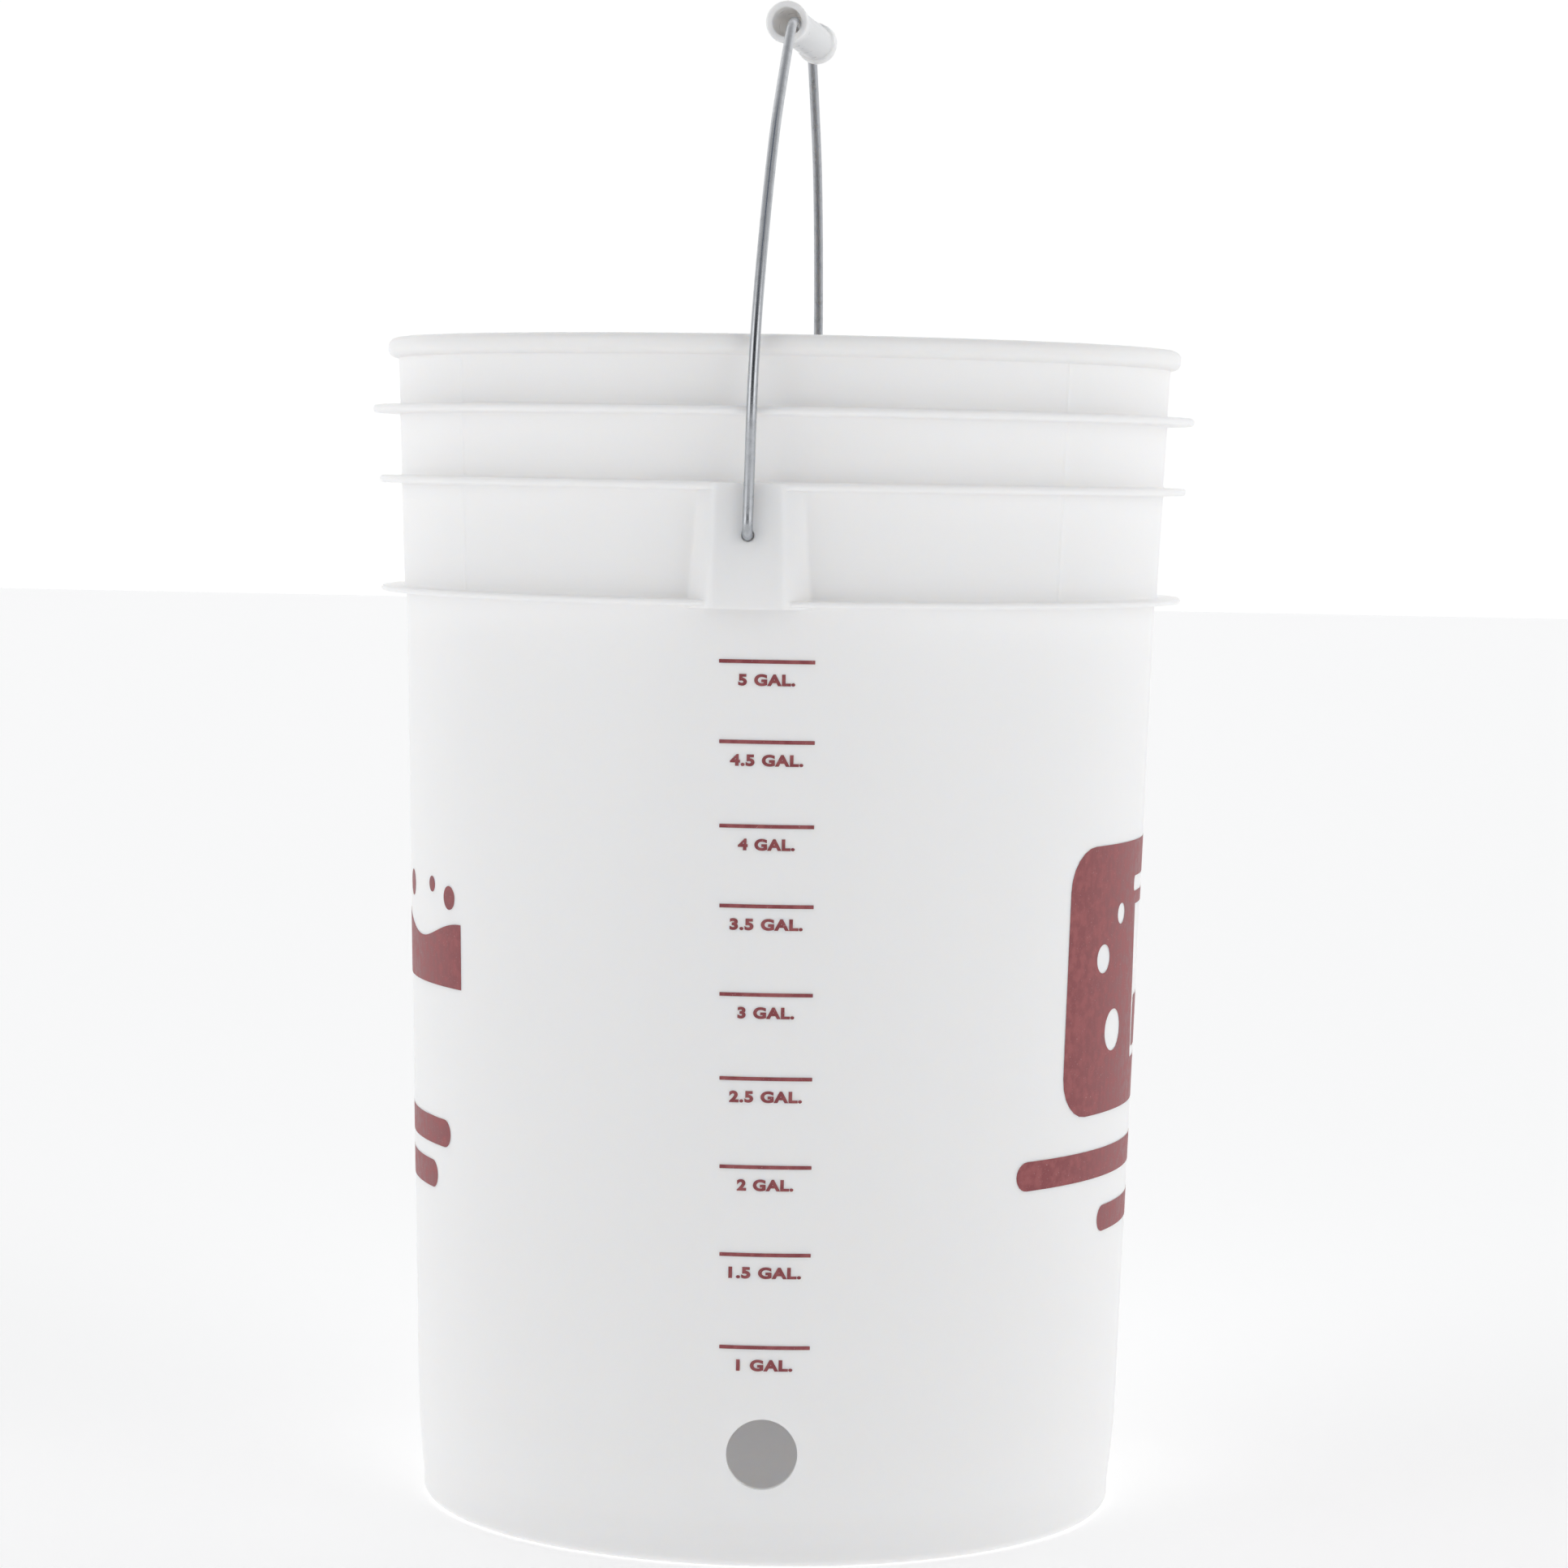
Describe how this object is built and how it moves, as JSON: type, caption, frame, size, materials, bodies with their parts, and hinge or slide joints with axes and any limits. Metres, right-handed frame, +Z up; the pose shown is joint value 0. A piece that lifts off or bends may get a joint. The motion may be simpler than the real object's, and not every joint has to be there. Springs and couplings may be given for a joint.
{
  "type": "plastic fermenting bucket",
  "caption": "Tall tapered plastic pail for home brewing, with stiffening rings, a drilled spigot hole near the base and a swinging wire bail with a roller grip.",
  "frame": {"origin": "centre of the foot ring, on the surface that the bucket stands on", "axes": "+Z up along the bucket's axis, the two ears and the bail's pivots on the Y axis, the spigot hole and the front ear towards -Y"},
  "size_m": [0.3178, 0.3262, 0.5768],
  "materials": {
    "bucket_plastic": "satin translucent polyethylene",
    "bail_steel": "bright zinc-plated wire",
    "grip_plastic": "smooth translucent polyethylene"
  },
  "bodies": {
    "bucket": {"bucket_shell": "bucket_plastic"},
    "bail": {"bail_wire": "bail_steel"},
    "grip": {"handle_grip": "grip_plastic"}
  },
  "joints": [
    {"name": "bail_swing", "type": "hinge", "parent": "bucket", "child": "bail", "pos_m": [0, 0, 0.377], "axis": [0, 1, 0], "range_deg": [-126, 123.5]},
    {"name": "grip_spin", "type": "hinge", "parent": "bail", "child": "grip", "pos_m": [0.00455, 0, 0.56875], "axis": [0.0645, 0.9979, -0.0015], "continuous": true}
  ]
}
